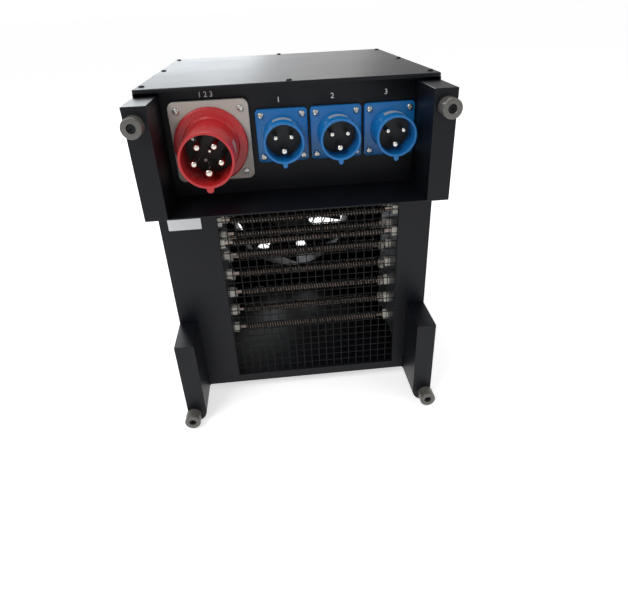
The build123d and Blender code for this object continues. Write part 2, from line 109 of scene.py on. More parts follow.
finishes = {
    # anthracite polyester powder coat, sprayed and baked: a satin sheen broken by fine orange peel
    "powder_coat": {"colour": "#0b0d13", "roughness": 0.42, "stain": (90, 0.015), "grain": (1.1, 0.05),
                    "shader": {"Specular IOR Level": 0.24}},
    # moulded grey rubber-like plastic: half gloss, so a window draws a pale line along it
    "buffer_grey": {"colour": "#56544f", "roughness": 0.26, "stain": (9, 0.05), "grain": (0.8, 0.01),
                    "shader": {"Specular IOR Level": 0.7}},
    # black-oxide steel: dark metal with soft highlights
    "black_steel": {"colour": "#2b2c2f", "metallic": 1.0, "roughness": 0.42, "stain": (4, 0.08)},
    # zinc-plated steel, rolled and barrel plated: bright grey metal
    "zinc_steel": {"colour": "#c9c8c4", "metallic": 1.0, "roughness": 0.28, "stain": (3, 0.08)},
    # electro-coated welded wire: black and half gloss
    "mesh_black": {"colour": "#0b0c0d", "roughness": 0.55, "stain": (12, 0.08),
                   "shader": {"Specular IOR Level": 0.25}},
    # hot-dip galvanised sheet: grey metal with a crystal spangle a few millimetres wide
    "galvanised": {"colour": "#8d9296", "metallic": 1.0, "roughness": 0.45, "tint": (7, "#6f757a"),
                   "stain": (7, 0.12)},
    # dry-pressed steatite, fired without a glaze: cream and chalky
    "steatite": {"colour": "#faf7ec", "roughness": 0.6, "tint": (5, "#f0eadb"), "grain": (0.5, 0.03)},
    # brown cordierite rod, extruded and fired; its near-black depth is painted shade for the rods deep inside
    # the cabinet
    "winding": {"colour": "#241b17", "roughness": 0.8, "tint": (14, "#17110f"), "grain": (0.7, 0.05)},
    # moulded pale grey polyamide: satin
    "light_grey_plastic": {"colour": "#b4aea6", "roughness": 0.42, "stain": (20, 0.05), "grain": (0.9, 0.02)},
    # moulded signal red polyamide: glossy skin with a slight mould waviness
    "red_plastic": {"colour": "#b6262a", "roughness": 0.28, "stain": (15, 0.02), "grain": (5.0, 0.004)},
    # moulded signal blue polyamide: glossy skin with a slight mould waviness
    "blue_plastic": {"colour": "#0d6bad", "roughness": 0.28, "stain": (15, 0.02), "grain": (5.0, 0.004)},
    # black thermoset insulator, compression moulded: dull with a fine grain
    "carrier_black": {"colour": "#161719", "roughness": 0.5, "grain": (0.8, 0.02)},
    # nickel-plated brass, turned: bright warm metal
    "nickel_pins": {"colour": "#d5d0c6", "metallic": 1.0, "roughness": 0.17, "stain": (3, 0.05)},
    # black rubber sheet: matte
    "seal_black": {"colour": "#141414", "roughness": 0.85, "grain": (0.6, 0.03)},
    # painted die-cast aluminium: dark and slightly pebbled
    "cast_motor": {"colour": "#2c2d30", "roughness": 0.5, "grain": (1.4, 0.06)},
    # glass-filled black polyamide: satin with a fine grain
    "fan_black": {"colour": "#191a1b", "roughness": 0.45, "stain": (18, 0.06), "grain": (0.9, 0.02)},
    # moulded grey thermoplastic: satin
    "switch_grey": {"colour": "#6d7074", "roughness": 0.45, "grain": (0.9, 0.02)},
    # moulded black thermoplastic: smooth, half gloss
    "knob_black": {"colour": "#17181a", "roughness": 0.33, "stain": (8, 0.05)},
    # drawn nickel-chromium wire, oxidised by heat: dull metal with bright spots
    "resistanceWire": {"colour": "#8c7f77", "metallic": 1.0, "roughness": 0.32, "stain": (5, 0.12)},
    # printed polyester film with an aluminium layer: pale and lightly mirroring
    "silverFilm": {"colour": "#c6c8c9", "metallic": 0.5, "roughness": 0.36, "stain": (10, 0.05)},
    # screen-printed white ink: flat white
    "whiteInk": {"colour": "#e6e6e2", "roughness": 0.6, "stain": (2, 0.05)},
}
finishMade = {name: finishOf(name, look) for name, look in finishes.items()}

for name, node in frame["nodes"].items():
    for held in node.material_slots:
        held.material = finishMade[slotOf[name]]
print("finishes made:", len(finishMade))


pole = 0.001  # a turned profile starts or ends this far from its axis, and a tiny cap closes it


# a grid of points to quads: each row is closed into a ring, and caps close the first and last row
def skin(points, caps=True):
    rows, cols = points.shape[:2]
    i = np.arange(rows - 1)[:, None] * cols
    j = np.arange(cols)[None, :]
    k = (j + 1) % cols
    quads = np.stack([i + j, i + k, i + cols + k, i + cols + j], axis=-1).reshape(-1, 4).tolist()
    if caps:
        quads.append(list(range(cols))[::-1])
        quads.append(list(range((rows - 1) * cols, rows * cols)))
    return points.reshape(-1, 3), quads


# many skins as one, each one's indices moved past those before it
def together(skins):
    verts, faces, start = [], [], 0
    for points, quads in skins:
        verts.append(points)
        faces += [[start + v for v in quad] for quad in quads]
        start += len(points)
    return np.concatenate(verts), faces


# puts a skin in millimetres into a mesh, closes its seams, turns its faces out and dresses it
def piece(name, shape, body, slot, material=None, smooth=35):
    points, faces = shape
    mesh = bpy.data.meshes.new(name)
    mesh.from_pydata((points * mm).tolist(), [], faces)
    work = bmesh.new()
    work.from_mesh(mesh)
    bmesh.ops.remove_doubles(work, verts=work.verts, dist=1e-7)
    bmesh.ops.recalc_face_normals(work, faces=work.faces)
    work.to_mesh(mesh)
    work.free()
    mesh.polygons.foreach_set("use_smooth", [True] * len(mesh.polygons))
    mesh.set_sharp_from_angle(angle=radians(smooth))
    made = bpy.data.objects.new(name, mesh)
    bpy.context.scene.collection.objects.link(made)
    mesh.materials.append(finishMade[material or slot])
    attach(made, body)
    return made


# a turned shape: each profile point (radius, distance) is carried round an axis that runs along direction
# from origin; stretch may change the radii, given the angles and one row of radii for each profile point
def turned(profile, origin, direction, steps=48, stretch=None):
    profile = np.asarray(profile, float)
    direction = np.asarray(direction, float)
    angle = np.linspace(0, 2 * np.pi, steps, endpoint=False)
    up = np.array([1.0, 0, 0]) if abs(direction[0]) < 0.5 else np.array([0, 1.0, 0])
    side = np.cross(direction, up)
    radius = profile[:, :1] * np.ones((1, steps))
    if stretch is not None:
        radius = stretch(angle, radius)
    ray = np.cos(angle)[:, None] * up + np.sin(angle)[:, None] * side
    along = profile[:, 1][:, None, None] * direction
    return skin(np.asarray(origin, float) + radius[..., None] * ray[None] + along)


# a closed turned ring: the last profile point joins the first one
def turnedRing(profile, origin, direction, steps=64):
    profile = list(profile) + [profile[0]]
    points, faces = turned(profile, origin, direction, steps)
    return points, faces[:-2]


# parallel round rods: a circle of the given radius at both ends of each line, capped
def rods(starts, ends, radius, sides=10):
    starts, ends = np.asarray(starts, float), np.asarray(ends, float)
    along = (ends[0] - starts[0]) / np.linalg.norm(ends[0] - starts[0])
    up = np.array([1.0, 0, 0]) if abs(along[0]) < 0.5 else np.array([0, 1.0, 0])
    side = np.cross(along, up)
    angle = np.linspace(0, 2 * np.pi, sides, endpoint=False)
    ring = radius * (np.cos(angle)[:, None] * up + np.sin(angle)[:, None] * side)
    return together([skin(np.stack([a + ring, b + ring])) for a, b in zip(starts, ends)])


# a plate with rounded corners, seen from the front: its outline shrinks by each profile point's inset
# while it comes forward; origin is its middle on the face behind it
def plate(width, height, corner, profile, origin):
    cornerSteps = 8
    quarter = np.linspace(0, np.pi / 2, cornerSteps)
    turns = np.concatenate([quarter + k * np.pi / 2 for k in range(4)])
    cornerX = np.repeat([1, -1, -1, 1], cornerSteps) * (width / 2 - corner)
    cornerZ = np.repeat([1, 1, -1, -1], cornerSteps) * (height / 2 - corner)
    rows = []
    for inset, forward in profile:
        reach = corner - inset
        rows.append(np.stack([
            origin[0] + cornerX + reach * np.cos(turns),
            np.full(len(turns), origin[1] - forward),
            origin[2] + cornerZ + reach * np.sin(turns),
        ], axis=-1))
    return skin(np.stack(rows))


edgeBevel = {"segments": 3, "fromAngle": 35, "shadeSharp": 50, "flat": 1}


# a copy of a CAD node, merged, with its flat faces made whole, and a small bevel on its sharp edges
def softened(node, name, width, body="cabinet"):
    mesh = frame["nodes"][node].data.copy()
    mesh.name = name
    work = bmesh.new()
    work.from_mesh(mesh)
    bmesh.ops.remove_doubles(work, verts=work.verts, dist=1e-6)
    bmesh.ops.dissolve_limit(work, angle_limit=radians(edgeBevel["flat"]), verts=work.verts, edges=work.edges)
    work.to_mesh(mesh)
    work.free()
    mesh.polygons.foreach_set("use_smooth", [True] * len(mesh.polygons))
    mesh.set_sharp_from_angle(angle=radians(edgeBevel["shadeSharp"]))
    made = bpy.data.objects.new(name, mesh)
    bpy.context.scene.collection.objects.link(made)
    soften = made.modifiers.new("edge", "BEVEL")
    soften.width = width * mm
    soften.segments = edgeBevel["segments"]
    soften.limit_method = "ANGLE"
    soften.angle_limit = radians(edgeBevel["fromAngle"])
    soften.harden_normals = True
    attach(made, body)
    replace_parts(made, node)
    return made


# edge widths in mm: cut sheet has its edges broken, folds and pressed blocks are rounder
edgeWidths = {
    "cabinet_shell": 0.5, "front_panel": 0.5, "deck": 0.5, "connector_panel": 0.5, "rear_panel": 0.5,
    "top_cover": 0.7, "heater_plate_left": 0.3, "heater_plate_right": 0.3, "element_bushes": 1.0,
    "five_pin_flange": 1.4,
}
postEdge, ringEdge = 0.9, 0.4
for node, width in edgeWidths.items():
    softened(node, node.title().replace("_", "") + "Soft", width)
for level in ("upper", "lower"):
    for end in ("front", "rear"):
        for hand in ("left", "right"):
            name = f"{level}{end.title()}{hand.title()}Post"
            softened(f"{level}_post_{end}_{hand}", name, postEdge)
shadeBlackRing = softened("fan_ring", "paintedShadeFanRing", ringEdge)
shadeBlackRing.data.materials[0] = finishMade["mesh_black"]  # painted shade: the ring, zinc in its slot, is dressed black so the duct behind the heating bank reads dark
print("sheets softened")

# eight buffers, one on the face of each post, each with a socket-head screw in its bore
buffer = {"radius": 12.5, "length": 19.3, "edge": 1.6, "bore": 5.5, "boreDepth": 9.0, "boreEdge": 0.7,
          "upper": (190.5, 476.5), "lower": (194.0, 15.0), "face": 276.0}
socketScrew = {"radius": 5.0, "height": 6.0, "edge": 0.5, "drive": "hex", "size": 2.5, "depth": 3.0}


# a rounded outer edge as profile points: a quarter circle of the given size that ends at the distance
def roundOver(radius, distance, size, count=5):
    turn = np.linspace(0, np.pi / 2, count)
    return [(radius - size + size * np.cos(t), distance - size + size * np.sin(t)) for t in turn]


bufferProfile = [(pole, 0), (buffer["radius"], 0)]
bufferProfile += roundOver(buffer["radius"], buffer["length"], buffer["edge"])
bufferProfile += [(buffer["bore"] + buffer["boreEdge"], buffer["length"]),
                  (buffer["bore"], buffer["length"] - buffer["boreEdge"]),
                  (buffer["bore"], buffer["length"] - buffer["boreDepth"]),
                  (pole, buffer["length"] - buffer["boreDepth"])]


# the recess in a screw's head by angle: a hexagon is its flat's distance over the cosine of the angle
# from the nearest flat; a cross is its arm's end in the same way, or the arm's half width, which is 0.3
# of its reach, over the sine
def driveOutline(drive, size, angle):
    if drive == "hex":
        return size / np.cos((angle + np.pi / 6) % (np.pi / 3) - np.pi / 6)
    off = np.abs((angle + np.pi / 4) % (np.pi / 2) - np.pi / 4)
    return np.minimum(size / np.cos(off), 0.3 * size / np.maximum(np.sin(off), 1e-6))


# a screw head: a turned cap with a rounded edge, domed where dome says so, and a recess that narrows to
# its floor; the three rows before the last take their radii from the recess's outline
def screwHead(origin, direction, head):
    radius, height, edge, dome = head["radius"], head["height"], head["edge"], head.get("dome", 0.0)
    drive, size, depth = head["drive"], head["size"], head["depth"]

    def recess(angle, radii):
        outline = driveOutline(drive, size, angle)
        radii[-4:-1] = outline, outline, outline * 0.55
        return radii

    pull = (radius - size) * 0.25 if dome else 0.0
    side = height - dome - edge
    profile = [(radius, 0), (radius, side)]
    profile += [(radius - edge * (1 - np.cos(t)) - pull * np.sin(t), side + (edge + dome * 0.7) * np.sin(t))
                for t in np.linspace(0.3, np.pi / 2, 4)]
    profile += [(size, height), (size, height - depth * 0.8), (size, height - depth), (pole, height - depth)]
    return turned(profile, origin, direction, 48, recess)


sides = [(hand, end) for hand in (-1, 1) for end in (-1, 1)]
for level in ("upper", "lower"):
    x, z = buffer[level]
    drums = [turned(bufferProfile, (hand * x, end * buffer["face"], z), (0, end, 0)) for hand, end in sides]
    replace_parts(piece(f"{level}BufferDrums", together(drums), "cabinet", "buffer_grey"), f"{level}_buffers")
seat = buffer["face"] + buffer["length"] - buffer["boreDepth"]
heads = [screwHead((hand * x, end * seat, z), (0, end, 0), socketScrew)
         for x, z in (buffer["upper"], buffer["lower"]) for hand, end in sides]
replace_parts(piece("bufferSocketScrews", together(heads), "cabinet", "black_steel"), "buffer_screws")
print("buffers turned")

# cross-head screws: three along each side of the lid and one in the middle of its front and rear
lidScrew = {"radius": 4.0, "height": 2.2, "edge": 0.5, "dome": 0.6, "drive": "cross", "size": 1.9,
            "depth": 1.2, "x": 194.0, "pitch": 182.0, "y": 197.0, "top": 507.0}
lidPlaces = [(hand * lidScrew["x"], row * lidScrew["pitch"]) for hand in (-1, 1) for row in (-1, 0, 1)]
lidPlaces += [(0, end * lidScrew["y"]) for end in (-1, 1)]
lidHeads = [screwHead((x, y, lidScrew["top"]), (0, 0, 1), lidScrew) for x, y in lidPlaces]
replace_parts(piece("lidPanHeads", together(lidHeads), "cabinet", "black_steel"), "lid_screws")

# two small ones low on the front sheet
panelScrew = {"radius": 3.2, "height": 1.6, "edge": 0.4, "dome": 0.4, "drive": "cross", "size": 1.5,
              "depth": 0.9, "front": -206.0, "places": [(-172.0, 35.0), (171.0, 35.0)]}
panelHeads = [screwHead((x, panelScrew["front"], z), (0, -1, 0), panelScrew) for x, z in panelScrew["places"]]
piece("frontPanelHeads", together(panelHeads), "cabinet", "black_steel")

# welded mesh behind the front opening: level wires lie behind the uprights and touch them
net = {"middle": (16.5, 188.5), "pitch": 13.0, "uprights": 22, "levels": 25, "width": 289.0, "height": 327.0,
       "radius": 0.8, "uprightY": -203.2, "levelY": -201.6}
columns = net["middle"][0] + (np.arange(net["uprights"]) - (net["uprights"] - 1) / 2) * net["pitch"]
levels = net["middle"][1] + (np.arange(net["levels"]) - (net["levels"] - 1) / 2) * net["pitch"]
low, high = net["middle"][1] - net["height"] / 2, net["middle"][1] + net["height"] / 2
left, right = net["middle"][0] - net["width"] / 2, net["middle"][0] + net["width"] / 2
uprightRods = rods([(x, net["uprightY"], low) for x in columns],
                   [(x, net["uprightY"], high) for x in columns], net["radius"])
levelRods = rods([(left, net["levelY"], z) for z in levels],
                 [(right, net["levelY"], z) for z in levels], net["radius"])
wires = together([uprightRods, levelRods])
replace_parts(piece("weldedWireMesh", wires, "cabinet", "mesh_black"), "front_mesh")
print("mesh welded")

# heating bank: elements from left to right between two end plates, in three columns one behind another;
# a column is its y, its top element's z and how many elements hang below each other a row apart
bank = {"left": -122.0, "right": 155.0, "bush": 8.0, "tab": 12.0, "tabThick": 1.5, "tabWide": 5.0,
        "core": 4.9, "coil": 6.2, "coilGap": 2.0, "wire": 0.8, "pitch": 4.5, "turnSteps": 14, "wireSides": 6,
        "phaseStep": 1.3, "row": 36.0,
        "columns": ((-188.5, 315.0, 2), (-149.0, 313.0, 7), (-101.0, 285.0, 6))}
coreStart = bank["left"] + bank["bush"] + bank["tab"]
coreEnd = bank["right"] - bank["bush"] - bank["tab"]


# a wire wound on a rod: the path is a helix, x grows with the angle while y and z go round; a small
# circle stands across it, one way along the helix's radius and the other square to radius and path
def helix(y, z, phase):
    turns = (coreEnd - coreStart - 2 * bank["coilGap"]) / bank["pitch"]
    angle = np.linspace(0, 2 * np.pi * turns, int(turns * bank["turnSteps"]))
    x = coreStart + bank["coilGap"] + angle / (2 * np.pi) * bank["pitch"]
    out = np.stack([np.zeros_like(angle), np.cos(angle + phase), np.sin(angle + phase)], axis=-1)
    path = np.stack([x, np.full_like(x, y), np.full_like(x, z)], axis=-1) + bank["coil"] * out
    forward = np.gradient(path, axis=0)
    forward /= np.linalg.norm(forward, axis=1, keepdims=True)
    across = np.cross(forward, out)
    ring = np.linspace(0, 2 * np.pi, bank["wireSides"], endpoint=False)
    points = path[:, None] + bank["wire"] * (np.cos(ring)[None, :, None] * out[:, None]
                                            + np.sin(ring)[None, :, None] * across[:, None])
    return skin(points)


places = [(y, top - row * bank["row"]) for y, top, count in bank["columns"] for row in range(count)]
# the cores take the winding finish, whose near-black is painted shade over the rod's own brown
cores = rods([(coreStart, y, z) for y, z in places],
             [(coreEnd, y, z) for y, z in places], bank["core"], 24)
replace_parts(piece("ceramicCores", cores, "cabinet", "winding"), "heating_elements")
corner = np.array([[-1, -1], [1, -1], [1, 1], [-1, 1]]) * (bank["tabThick"] / 2, bank["tabWide"] / 2)
tabs = []
for start, end in ((bank["left"] + bank["bush"], coreStart), (coreEnd, bank["right"] - bank["bush"])):
    for y, z in places:
        ends = [np.column_stack([np.full(4, x), y + corner[:, 0], z + corner[:, 1]]) for x in (start, end)]
        tabs.append(skin(np.stack(ends)))
piece("elementTabs", together(tabs), "cabinet", "winding", "resistanceWire", 20)
for number, (y, top, count) in enumerate(bank["columns"], start=1):
    coils = [helix(y, top - row * bank["row"], row * bank["phaseStep"]) for row in range(count)]
    piece(f"heaterCoils{number}", together(coils), "cabinet", "winding", "resistanceWire", 80)
print("elements wound")

# inlets: distances forward are measured from the inlet panel's face; rim, floor and face are the collar's
# mouth, its bottom inside and the insulator's front; pins are the radii of the earth pin and of the others
panelY = -189.0
large = {"centre": (-111.8, 430.5), "flange": (-110.2, 434.5), "front": 9.5, "back": 35.0, "rootEdge": 0.6,
         "base": 50.2, "baseFront": 16.3, "baseEdge": 2.4, "neck": 38.0, "neckFront": 21.3, "neckEdge": 0.8,
         "radius": 34.9, "wall": 3.3, "rim": 93.6, "rimEdge": 0.8, "floor": 20.0, "face": 30.0,
         "keyWidth": 9.3, "keyHeight": 6.0, "circle": 18.3, "pins": (5.0, 4.0), "tips": 85.0,
         "pilot": 3.0, "pilotTip": 45.0, "screws": 42.5, "flangeFront": 9.5}
small = {"xs": (-13.5, 61.4, 136.3), "z": 436.5, "front": 1.5, "back": 35.0,
         "radius": 27.0, "wall": 3.3, "rim": 55.5, "rimEdge": 0.8, "floor": 12.0, "face": 22.0,
         "keyWidth": 6.2, "keyHeight": 5.5, "circle": 12.1, "pins": (4.0, 3.0), "tips": 49.0,
         "screws": 28.0, "flangeSize": 71.0, "corner": 5.0, "flangeFront": 7.5, "flangeEdge": 1.0}


# angles round a collar from +x towards up, crowded at the key, which is below
def collarAngles():
    atKey = np.radians(np.linspace(-106, -74, 65))
    rest = np.radians(np.linspace(-74, 254, 96))[1:-1]
    return np.concatenate([atKey, rest])


# the outline of a collar with its key: the circle, or where the ray meets the key farther out, the
# key's side (half width over sine) or its rounded end (a circle of the half width at the key's end)
def keyed(radius, angle, keyWidth, keyHeight):
    off = np.abs((angle + np.pi / 2 + np.pi) % (2 * np.pi) - np.pi)
    half = keyWidth / 2
    centre = radius + keyHeight - half
    inside = np.clip(half ** 2 - (centre * np.sin(off)) ** 2, 0, None)
    end = centre * np.cos(off) + np.sqrt(inside)
    side = half / np.maximum(np.sin(off), 1e-6)
    onEnd = off < np.arctan(half / centre)
    reach = np.where(onEnd, end, side)
    return np.where(off < np.pi / 4, np.maximum(radius, reach), radius)


# the collar as one skin: the plug behind the panel, the base given as profile points, the outside with
# its key, the rounded rim, the inside and the floor
def collarSkin(inlet, x, z, base):
    angle = collarAngles()
    inner, rim, edge = inlet["radius"] - inlet["wall"], inlet["rim"], inlet["rimEdge"]
    key = keyed(inlet["radius"], angle, inlet["keyWidth"], inlet["keyHeight"])
    roots = [(pole, -inlet["back"]), (inner, -inlet["back"]), (inner, inlet["front"])] + base
    rows = [(np.full_like(angle, radius), forward) for radius, forward in roots]
    rows.append((key, base[-1][1] + 0.01))  # the key's own back stands a hair in front of the base
    turn = np.linspace(0, np.pi / 2, 5)
    rows += [(key - edge + edge * np.cos(t), rim - edge + edge * np.sin(t)) for t in turn]
    rows += [(np.full_like(angle, inner + edge - edge * np.sin(t)), rim - edge + edge * np.cos(t))
             for t in turn]
    rows += [(np.full_like(angle, radius), inlet["floor"]) for radius in (inner, pole)]
    return skin(np.stack([np.stack([x + radius * np.cos(angle), np.full_like(angle, panelY - forward),
                                    z + radius * np.sin(angle)], axis=-1) for radius, forward in rows]))


rootEdge, neckEdge = large["rootEdge"], large["neckEdge"]
largeBase = [(large["base"] - rootEdge, large["front"]), (large["base"], large["front"] + rootEdge)]
largeBase += roundOver(large["base"], large["baseFront"], large["baseEdge"], 6)
largeBase += [(large["neck"] + neckEdge, large["baseFront"]), (large["neck"], large["baseFront"] + neckEdge),
              (large["neck"], large["neckFront"] - neckEdge), (large["neck"] - neckEdge, large["neckFront"]),
              (large["radius"], large["neckFront"])]
collar = collarSkin(large, *large["centre"], largeBase)
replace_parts(piece("redCollar", collar, "cabinet", "red_plastic", smooth=40), "five_pin_collar")

flangeFront, flangeEdge = small["flangeFront"], small["flangeEdge"]
flangeProfile = [(0.0, small["front"]), (0.0, flangeFront - flangeEdge),
                 (0.3 * flangeEdge, flangeFront - 0.3 * flangeEdge), (flangeEdge, flangeFront)]
for number, x in enumerate(small["xs"], start=1):
    collar = collarSkin(small, x, small["z"], [(small["radius"], small["front"])])
    flange = plate(small["flangeSize"], small["flangeSize"], small["corner"], flangeProfile,
                   (x, panelY, small["z"]))
    made = piece(f"blueHousing{number}", together([collar, flange]), "cabinet", "blue_plastic", smooth=40)
    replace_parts(made, f"three_pin_housing_l{number}")
print("collars moulded")


# turned pins on the insulator; a tip is a quarter of an ellipse that leaves a flat a quarter as wide
def pinGroup(inlet, x, z, pins):
    shapes = []
    for (dx, dz), radius, tip in pins:
        top = tip - inlet["face"]
        profile = [(pole, 0), (radius, 0)]
        profile += [(radius * (0.25 + 0.75 * np.cos(t)), top - 0.55 * radius * (1 - np.sin(t)))
                    for t in np.linspace(0, np.pi / 2, 8)]
        profile.append((pole, top))
        shapes.append(turned(profile, (x + dx, panelY - inlet["face"], z + dz), (0, -1, 0), 32))
    return together(shapes)


# an inlet's pins as place, radius and tip: the first, the earth pin, stands lowest on the circle
def pinCircle(inlet, count):
    angle = np.radians(-90 + 360 * np.arange(count) / count)
    earth, others = inlet["pins"]
    radii = [earth] + [others] * (count - 1)
    places = zip(inlet["circle"] * np.cos(angle), inlet["circle"] * np.sin(angle))
    return [(place, radius, inlet["tips"]) for place, radius in zip(places, radii)]


largePins = pinCircle(large, 5) + [((0.0, 0.0), large["pilot"], large["pilotTip"])]
contacts = piece("fivePinContacts", pinGroup(large, *large["centre"], largePins), "cabinet", "nickel_pins")
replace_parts(contacts, "five_pin_pins")
for number, x in enumerate(small["xs"], start=1):
    pins = pinGroup(small, x, small["z"], pinCircle(small, 3))
    contacts = piece(f"threePinContacts{number}", pins, "cabinet", "nickel_pins")
    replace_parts(contacts, f"three_pin_pins_l{number}")

# cross-head screws on the four corners of each flange, and two smaller ones in the large insulator
inletScrew = {"radius": 4.2, "height": 2.6, "edge": 0.6, "dome": 0.8, "drive": "cross", "size": 2.1,
              "depth": 1.4}
inletHeads = []
for inlet, x, z in [(large, *large["flange"])] + [(small, x, small["z"]) for x in small["xs"]]:
    for across in (-1, 1):
        for up in (-1, 1):
            seat = (x + across * inlet["screws"], panelY - inlet["flangeFront"], z + up * inlet["screws"])
            inletHeads.append(screwHead(seat, (0, -1, 0), inletScrew))
piece("inletPanHeads", together(inletHeads), "cabinet", "light_grey_plastic", "zinc_steel")
carrierScrew = {"radius": 2.6, "height": 1.4, "edge": 0.3, "dome": 0.3, "drive": "cross", "size": 1.3,
                "depth": 0.8, "places": ((-8.5, -15.0), (-21.7, 14.0))}
x, z = large["centre"]
carrierHeads = [screwHead((x + dx, panelY - large["face"], z + dz), (0, -1, 0), carrierScrew)
                for dx, dz in carrierScrew["places"]]
piece("carrierHeads", together(carrierHeads), "cabinet", "carrier_black", "zinc_steel")

# bare film labels: on a collar from one angle to another and from one distance forward to another,
# and the rating film on the front sheet; stick is how far a label stands out and goes in
labels = {"smallArc": (62, 118), "smallReach": (24.0, 36.0), "largeArc": (-2, 22), "largeReach": (40.0, 60.0),
          "stick": 0.2, "rating": (48.0, 25.0), "ratingCorner": 1.0, "ratingThick": 0.25,
          "ratingPlace": (-166.5, -206.0, 324.5)}


# a film patch laid round a collar: an arc outside it and the same arc back inside it, carried forward
def patch(inlet, x, z, arc, reach):
    turn = np.radians(np.linspace(*arc, 24))
    outer, inner = inlet["radius"] + labels["stick"], inlet["radius"] - labels["stick"]
    radius = np.repeat([outer, inner], len(turn))
    turn = np.concatenate([turn, turn[::-1]])
    return skin(np.stack([np.column_stack([x + radius * np.cos(turn), np.full(len(turn), panelY - forward),
                                           z + radius * np.sin(turn)]) for forward in reach]))


patches = [patch(small, x, small["z"], labels["smallArc"], labels["smallReach"]) for x in small["xs"]]
patches.append(patch(large, *large["centre"], labels["largeArc"], labels["largeReach"]))
piece("collarPatches", together(patches), "cabinet", "buffer_grey", "silverFilm")
thick = labels["ratingThick"]
filmProfile = [(0, 0), (0, thick - 0.05), (0.05, thick)]
ratingPlate = plate(*labels["rating"], labels["ratingCorner"], filmProfile, labels["ratingPlace"])
piece("bareRatingFilm", ratingPlate, "cabinet", "buffer_grey", "silverFilm")
print("inlets dressed")

# plain numbers: text, the x of its middle, the z of its foot and its height; a figure of the font is
# capShare of its size high, and bold is how far each stroke is widened to a side
numbers = {"ink": 0.12, "capShare": 0.72, "bold": 0.08,
           "inlets": [("1 2 3", -112.0, 491.5, 7.0), ("1", -15.7, 479.5, 7.0), ("2", 58.0, 480.5, 7.0),
                      ("3", 132.0, 481.5, 7.0)]}


# words as thin solids of ink on the plane y: the font's outlines, facing the front or the rear
def wordShapes(words, rear, y):
    skins = []
    for text, x, z, height in words:
        curve = bpy.data.curves.new("word", "FONT")
        curve.body, curve.size = text, height / numbers["capShare"] * mm
        curve.align_x = "CENTER"
        curve.resolution_u = 4
        curve.extrude, curve.offset = numbers["ink"] / 2 * mm, numbers["bold"] * mm
        holder = bpy.data.objects.new("word", curve)
        bpy.context.scene.collection.objects.link(holder)
        finished = holder.evaluated_get(bpy.context.evaluated_depsgraph_get())
        mesh = bpy.data.meshes.new_from_object(finished)
        flat = np.empty(len(mesh.vertices) * 3)
        mesh.vertices.foreach_get("co", flat)
        flat = flat.reshape(-1, 3) / mm
        turn = -1 if rear else 1
        points = np.column_stack([x + turn * flat[:, 0], y - turn * flat[:, 2], z + flat[:, 1]])
        skins.append((points, [list(face.vertices) for face in mesh.polygons]))
        bpy.data.objects.remove(holder)
    return together(skins)


inletWords = wordShapes(numbers["inlets"], False, panelY - numbers["ink"] / 2)
piece("inletNumbers", inletWords, "cabinet", "buffer_grey", "whiteInk")

# fan rotor: a cup-shaped hub round the motor and seven blades; thick and camber are shares of the chord
fan = {"z": 188.0, "hubRadius": 45.0, "hubFront": 152.0, "hubRear": 192.0, "hubEdge": 3.0, "wall": 3.0,
       "boss": 10.0, "bore": 4.05, "blades": 7, "rootRadius": 43.0, "tipRadius": 117.0, "rootChord": 56.0,
       "tipChord": 78.0, "rootPitch": 42.0, "tipPitch": 24.0, "thick": 0.055, "camber": 0.07,
       "spanRows": 12, "sectionSteps": 28}


# a cambered blade: each row is a thin closed section, its half thickness a wave times the chord, thicker
# ahead than behind, and its middle line a parabola; the chord grows and the pitch falls from root to tip
def blade(turn):
    span = np.linspace(0, 1, fan["spanRows"])[:, None]
    loop = np.linspace(0, 2 * np.pi, fan["sectionSteps"], endpoint=False)[None, :]
    reach = fan["rootRadius"] + span * (fan["tipRadius"] - fan["rootRadius"])
    chord = fan["rootChord"] + span * (fan["tipChord"] - fan["rootChord"])
    pitch = np.radians(fan["rootPitch"] + span * (fan["tipPitch"] - fan["rootPitch"]))
    along = np.cos(loop) / 2
    rise = fan["camber"] * (1 - 4 * along ** 2) - fan["camber"] / 2
    offset = chord * (rise + fan["thick"] / 2 * np.sin(loop) * (1.2 - along))
    run = chord * along
    across = run * np.cos(pitch) - offset * np.sin(pitch)
    depth = run * np.sin(pitch) + offset * np.cos(pitch)
    out = np.array([np.cos(turn), 0, np.sin(turn)])
    side = np.cross([0, 1.0, 0], out)
    middle = np.array([0, (fan["hubFront"] + fan["hubRear"]) / 2, fan["z"]])
    back = np.array([0, 1.0, 0])
    return skin(middle + reach[..., None] * out + across[..., None] * side + depth[..., None] * back)


edge, front, rear = fan["hubEdge"], fan["hubFront"], fan["hubRear"]
outside, inside = fan["hubRadius"], fan["hubRadius"] - fan["wall"]
hubProfile = [(fan["bore"], front), (outside - edge, front)]
hubProfile += [(outside - edge + edge * np.sin(t), front + edge - edge * np.cos(t))
               for t in np.linspace(0.2, np.pi / 2, 6)]
hubProfile += [(outside, rear), (inside, rear), (inside, front + fan["wall"]),
               (fan["boss"], front + fan["wall"]), (fan["boss"], rear), (fan["bore"], rear)]
hub = turnedRing(hubProfile, (0, 0, fan["z"]), (0, 1, 0), 72)
blades = [blade(2 * np.pi * k / fan["blades"]) for k in range(fan["blades"])]
rotor = piece("sevenBladeRotor", together([hub] + blades), "fan_rotor", "fan_black", smooth=40)
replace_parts(rotor, "fan_rotor")

# wire guard on the rear sheet: rings a pitch apart, four spokes over them and a plate in the middle
guard = {"outer": 136.0, "pitch": 22.0, "rings": 4, "wire": 1.25, "wireSides": 10, "y": 206.0, "spokes": 4,
         "spokeStart": 22.5, "plate": 45.0, "plateThick": 2.5, "plateEdge": 0.6}


